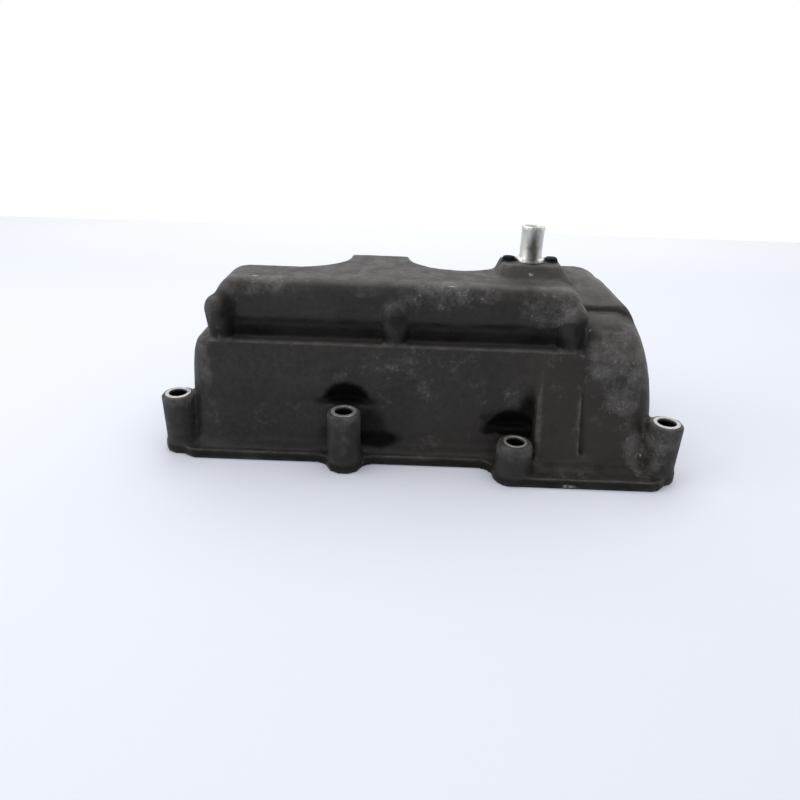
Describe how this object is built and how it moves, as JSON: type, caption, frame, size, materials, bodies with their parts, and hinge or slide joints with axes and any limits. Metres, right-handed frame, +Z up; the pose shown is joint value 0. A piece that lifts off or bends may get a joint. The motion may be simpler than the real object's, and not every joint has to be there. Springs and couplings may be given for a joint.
{
  "type": "engine valve cover",
  "caption": "Deep cast engine valve cover with a stepped outline, bolt towers along its rim, plug wells, a raised breather box and a hose nipple on top.",
  "frame": {"origin": "centre of the cover's outline, on the joint face that meets the cylinder head", "axes": "+X along the cover towards its domed end, +Y from the stepped front edge to the plug wells, +Z up out of the joint face"},
  "size_m": [0.3078, 0.142, 0.1335],
  "materials": {
    "cast_metal": "dull sand-cast skin, dark with age and oil, with pale oxide marks",
    "tube_steel": "plated, worn bright",
    "plate_steel": "plain sheet, oil stained",
    "screw_steel": "dull plated",
    "gasket_rubber": "matt, moulded"
  },
  "bodies": {
    "root": {"cover_casting": "cast_metal", "breather_nipple": "tube_steel", "baffle_plate": "plate_steel", "baffle_screws": "screw_steel", "cover_gasket": "gasket_rubber"}
  },
  "joints": []
}
